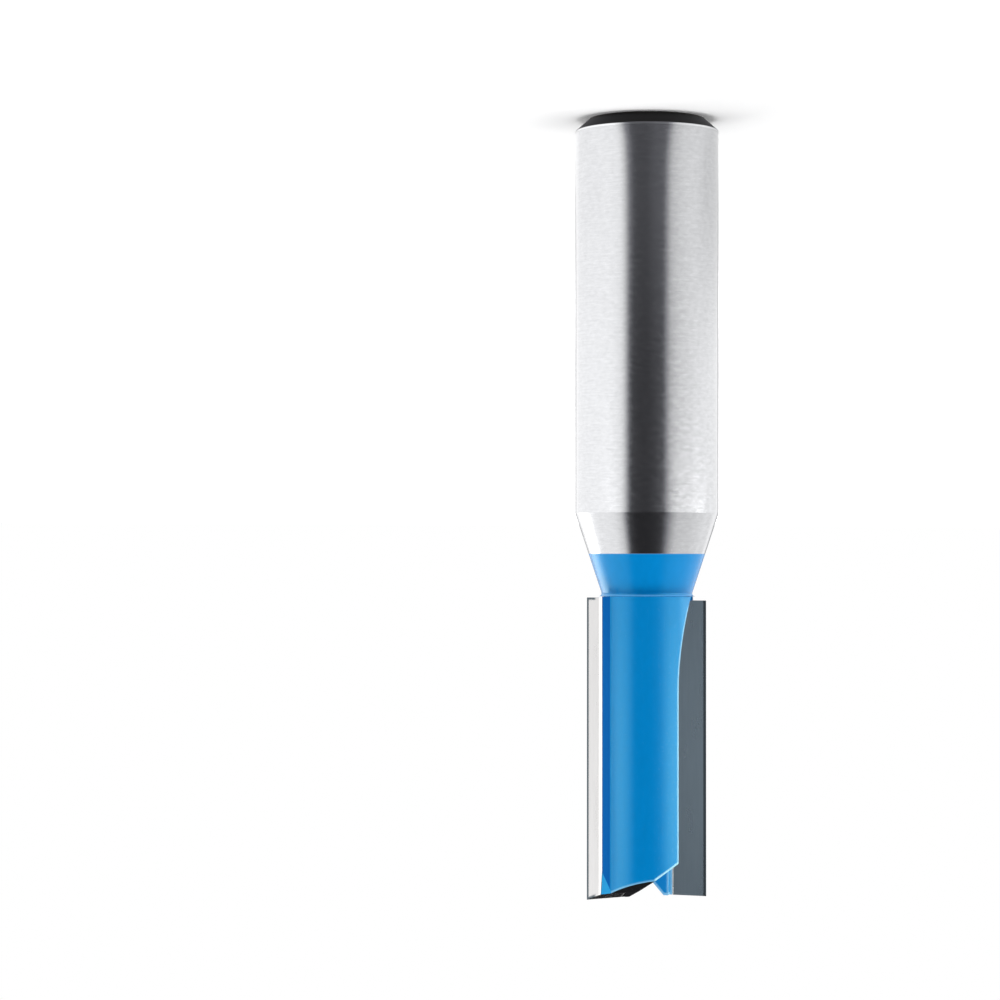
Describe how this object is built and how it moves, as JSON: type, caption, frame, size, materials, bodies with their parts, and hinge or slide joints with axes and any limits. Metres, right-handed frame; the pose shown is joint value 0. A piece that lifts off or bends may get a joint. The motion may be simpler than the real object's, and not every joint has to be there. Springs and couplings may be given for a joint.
{
  "type": "router bit",
  "caption": "Straight router bit: round steel shank, tapered neck and a coated fluted body with brazed carbide tips, for cutting grooves in wood.",
  "frame": {"origin": "centre of the shank's end face, which the bit stands on", "axes": "+Z along the bit's axis from the shank end to the cutting end, +X along the wing of tip b, -X along the wing of tip a"},
  "size_m": [0.0126, 0.0126, 0.0691],
  "materials": {
    "tool_steel": "ground bright on the shank, black on the shank end, gloss blue coating from the middle of the taper to the cutting end",
    "carbide": "fine ground",
    "braze": "satin silver braze"
  },
  "bodies": {
    "root": {"tool_body": "tool_steel", "carbide_tip_a": "carbide", "carbide_tip_b": "carbide", "braze_seam_a": "braze", "braze_seam_b": "braze"}
  },
  "joints": []
}
